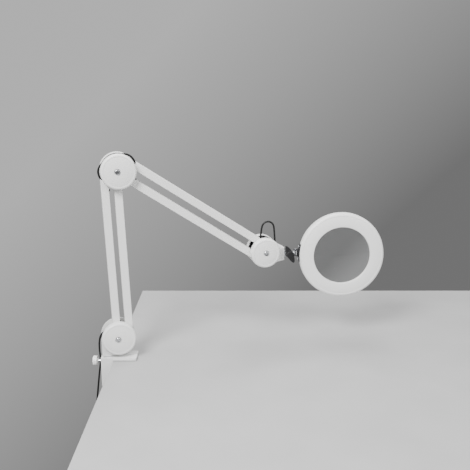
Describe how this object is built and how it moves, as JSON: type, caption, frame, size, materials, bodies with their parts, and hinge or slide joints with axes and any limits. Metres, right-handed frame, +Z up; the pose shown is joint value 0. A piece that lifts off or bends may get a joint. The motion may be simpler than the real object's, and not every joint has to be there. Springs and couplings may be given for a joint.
{
  "type": "magnifying lamp",
  "caption": "Clamp-on magnifying lamp: table clamp, parallel-tube arms with round joint covers, and a ring-shaped head holding a large round lens and a ring light.",
  "frame": {"origin": "middle of the underside of the clamp's upper pad, where it lies on the table", "axes": "+Z up from the table, +X into the table from its edge and towards the head, +Y away from the side that carries the screw covers"},
  "size_m": [0.6329, 0.1556, 0.6855],
  "materials": {
    "white_enamel": "satin powder coat",
    "white_plastic": "satin moulded",
    "dark_steel": "dark oxide",
    "bright_steel": "bright plated",
    "black_plastic": "moulded",
    "black_rubber": "matt",
    "black_cord": "smooth flexible sheath",
    "spring_steel": "oiled wire",
    "clear_glass": "polished",
    "led_white": "white solder mask",
    "milky_plastic": "milky diffusing"
  },
  "bodies": {
    "clamp": {"clamp_frame": "white_enamel", "jaw_pad": "black_rubber", "swivel_bush": "bright_steel", "lead": "black_cord", "lead_coil": "black_cord", "plug": "white_plastic"},
    "shoe": {"clamp_shoe": "bright_steel"},
    "screw": {"clamp_screw": "bright_steel", "clamp_tee_bar": "bright_steel"},
    "lock": {"lock_screw": "bright_steel", "lock_knob": "white_plastic"},
    "base": {"swivel_post": "bright_steel", "base_bracket": "white_enamel", "base_pins": "bright_steel", "base_cover": "white_plastic", "base_cover_screw": "bright_steel", "lead_upper": "black_cord", "strain_relief": "black_cord"},
    "lower_link_a": {"lower_tube_a": "white_enamel", "lower_tube_a_ends": "black_plastic", "lower_bumpers": "black_rubber", "cord_lower": "black_cord"},
    "lower_link_b": {"lower_tube_b": "white_enamel", "lower_tube_b_ends": "black_plastic", "lower_spring": "spring_steel"},
    "elbow": {"elbow_plate_near": "dark_steel", "elbow_plate_far": "dark_steel", "elbow_pins": "bright_steel", "elbow_cover_near": "white_plastic", "elbow_cover_far": "white_plastic", "elbow_cover_screws": "bright_steel", "cord_elbow": "black_cord"},
    "upper_link_a": {"upper_tube_a": "white_enamel", "upper_tube_a_ends": "black_plastic", "cord_upper": "black_cord"},
    "upper_link_b": {"upper_tube_b": "white_enamel", "upper_tube_b_ends": "black_plastic", "upper_bumper": "black_rubber", "upper_spring": "spring_steel"},
    "head_link": {"link_plate_near": "dark_steel", "link_plate_far": "dark_steel", "link_pins": "bright_steel", "link_cover_near": "white_plastic", "link_cover_far": "white_plastic", "link_cover_screws": "bright_steel", "neck_housing": "white_plastic", "cord_loop": "black_cord"},
    "knuckle": {"neck_knuckle": "bright_steel"},
    "stem": {"tilt_stem": "bright_steel"},
    "wing": {"wing_knob": "black_plastic", "wing_bolt": "bright_steel"},
    "head": {"head_bracket": "dark_steel", "bracket_fasteners": "bright_steel", "head_bezel": "white_plastic", "head_back": "white_plastic", "lens": "clear_glass", "lens_ring": "black_plastic", "led_board": "led_white", "diffuser": "milky_plastic"},
    "button": {"power_button": "black_plastic"}
  },
  "joints": [
    {"name": "clamp_travel", "type": "slide", "parent": "clamp", "child": "shoe", "axis": [0, 0, 1], "range_m": [-0.01, 0.016]},
    {"name": "screw_turn", "type": "hinge", "parent": "shoe", "child": "screw", "pos_m": [0, 0, -0.033], "axis": [0, 0, 1], "range_deg": [-1800, 2880]},
    {"name": "lock_turn", "type": "hinge", "parent": "clamp", "child": "lock", "pos_m": [-0.054, 0, -0.007], "axis": [1, 0, 0], "range_deg": [-180, 0]},
    {"name": "swivel", "type": "hinge", "parent": "clamp", "child": "base", "pos_m": [-0.034, 0, 0], "axis": [0, 0, 1], "range_deg": [-90, 90]},
    {"name": "lower_arm", "type": "hinge", "parent": "base", "child": "lower_link_a", "pos_m": [-0.01536, 0.005, 0.0472], "axis": [-0.2588, 0.9659, 0], "range_deg": [-15, 42]},
    {"name": "lower_parallel", "type": "hinge", "parent": "base", "child": "lower_link_b", "pos_m": [0.00889, 0.01149, 0.0472], "axis": [-0.2588, 0.9659, 0], "range_deg": [-15, 42]},
    {"name": "elbow_level", "type": "hinge", "parent": "lower_link_a", "child": "elbow", "pos_m": [-0.02714, 0.00184, 0.38798], "axis": [-0.2588, 0.9659, 0], "range_deg": [-42, 15]},
    {"name": "upper_arm", "type": "hinge", "parent": "elbow", "child": "upper_link_a", "pos_m": [0.01324, 0.01266, 0.40928], "axis": [0.2588, -0.9659, 0], "range_deg": [-18, 78]},
    {"name": "upper_parallel", "type": "hinge", "parent": "elbow", "child": "upper_link_b", "pos_m": [0.01324, 0.01266, 0.37328], "axis": [0.2588, -0.9659, 0], "range_deg": [-18, 78]},
    {"name": "head_level", "type": "hinge", "parent": "upper_link_a", "child": "head_link", "pos_m": [0.28485, 0.08544, 0.22174], "axis": [0.2588, -0.9659, 0], "range_deg": [-78, 18]},
    {"name": "neck_twist", "type": "hinge", "parent": "head_link", "child": "knuckle", "pos_m": [0.33842, 0.09979, 0.19774], "axis": [0.9659, 0.2588, 0], "range_deg": [-80, 90]},
    {"name": "head_tilt", "type": "hinge", "parent": "knuckle", "child": "stem", "pos_m": [0.33842, 0.09979, 0.19774], "axis": [0.2586, -0.9652, 0.0384], "range_deg": [-75, 60]},
    {"name": "head_yaw", "type": "hinge", "parent": "stem", "child": "head", "pos_m": [0.35751, 0.10485, 0.1964], "axis": [0.0558, 0.0546, 0.9969], "range_deg": [-25, 25]},
    {"name": "wing_turn", "type": "hinge", "parent": "knuckle", "child": "wing", "pos_m": [0.33842, 0.09979, 0.19774], "axis": [-0.2586, 0.9652, -0.0384], "range_deg": [-180, 0]},
    {"name": "button_press", "type": "slide", "parent": "head", "child": "button", "axis": [0.0558, 0.0546, 0.9969], "range_m": [0, 0.0015], "stiffness_N_per_m": 300, "springref_m": -0.001}
  ],
  "couplings": [
    {"joint": "screw_turn", "follows": "clamp_travel", "rad_per_m": 3141.6},
    {"joint": "lower_parallel", "follows": "lower_arm", "ratio": 1},
    {"joint": "elbow_level", "follows": "lower_arm", "ratio": -1},
    {"joint": "upper_parallel", "follows": "upper_arm", "ratio": 1},
    {"joint": "head_level", "follows": "upper_arm", "ratio": -1}
  ]
}
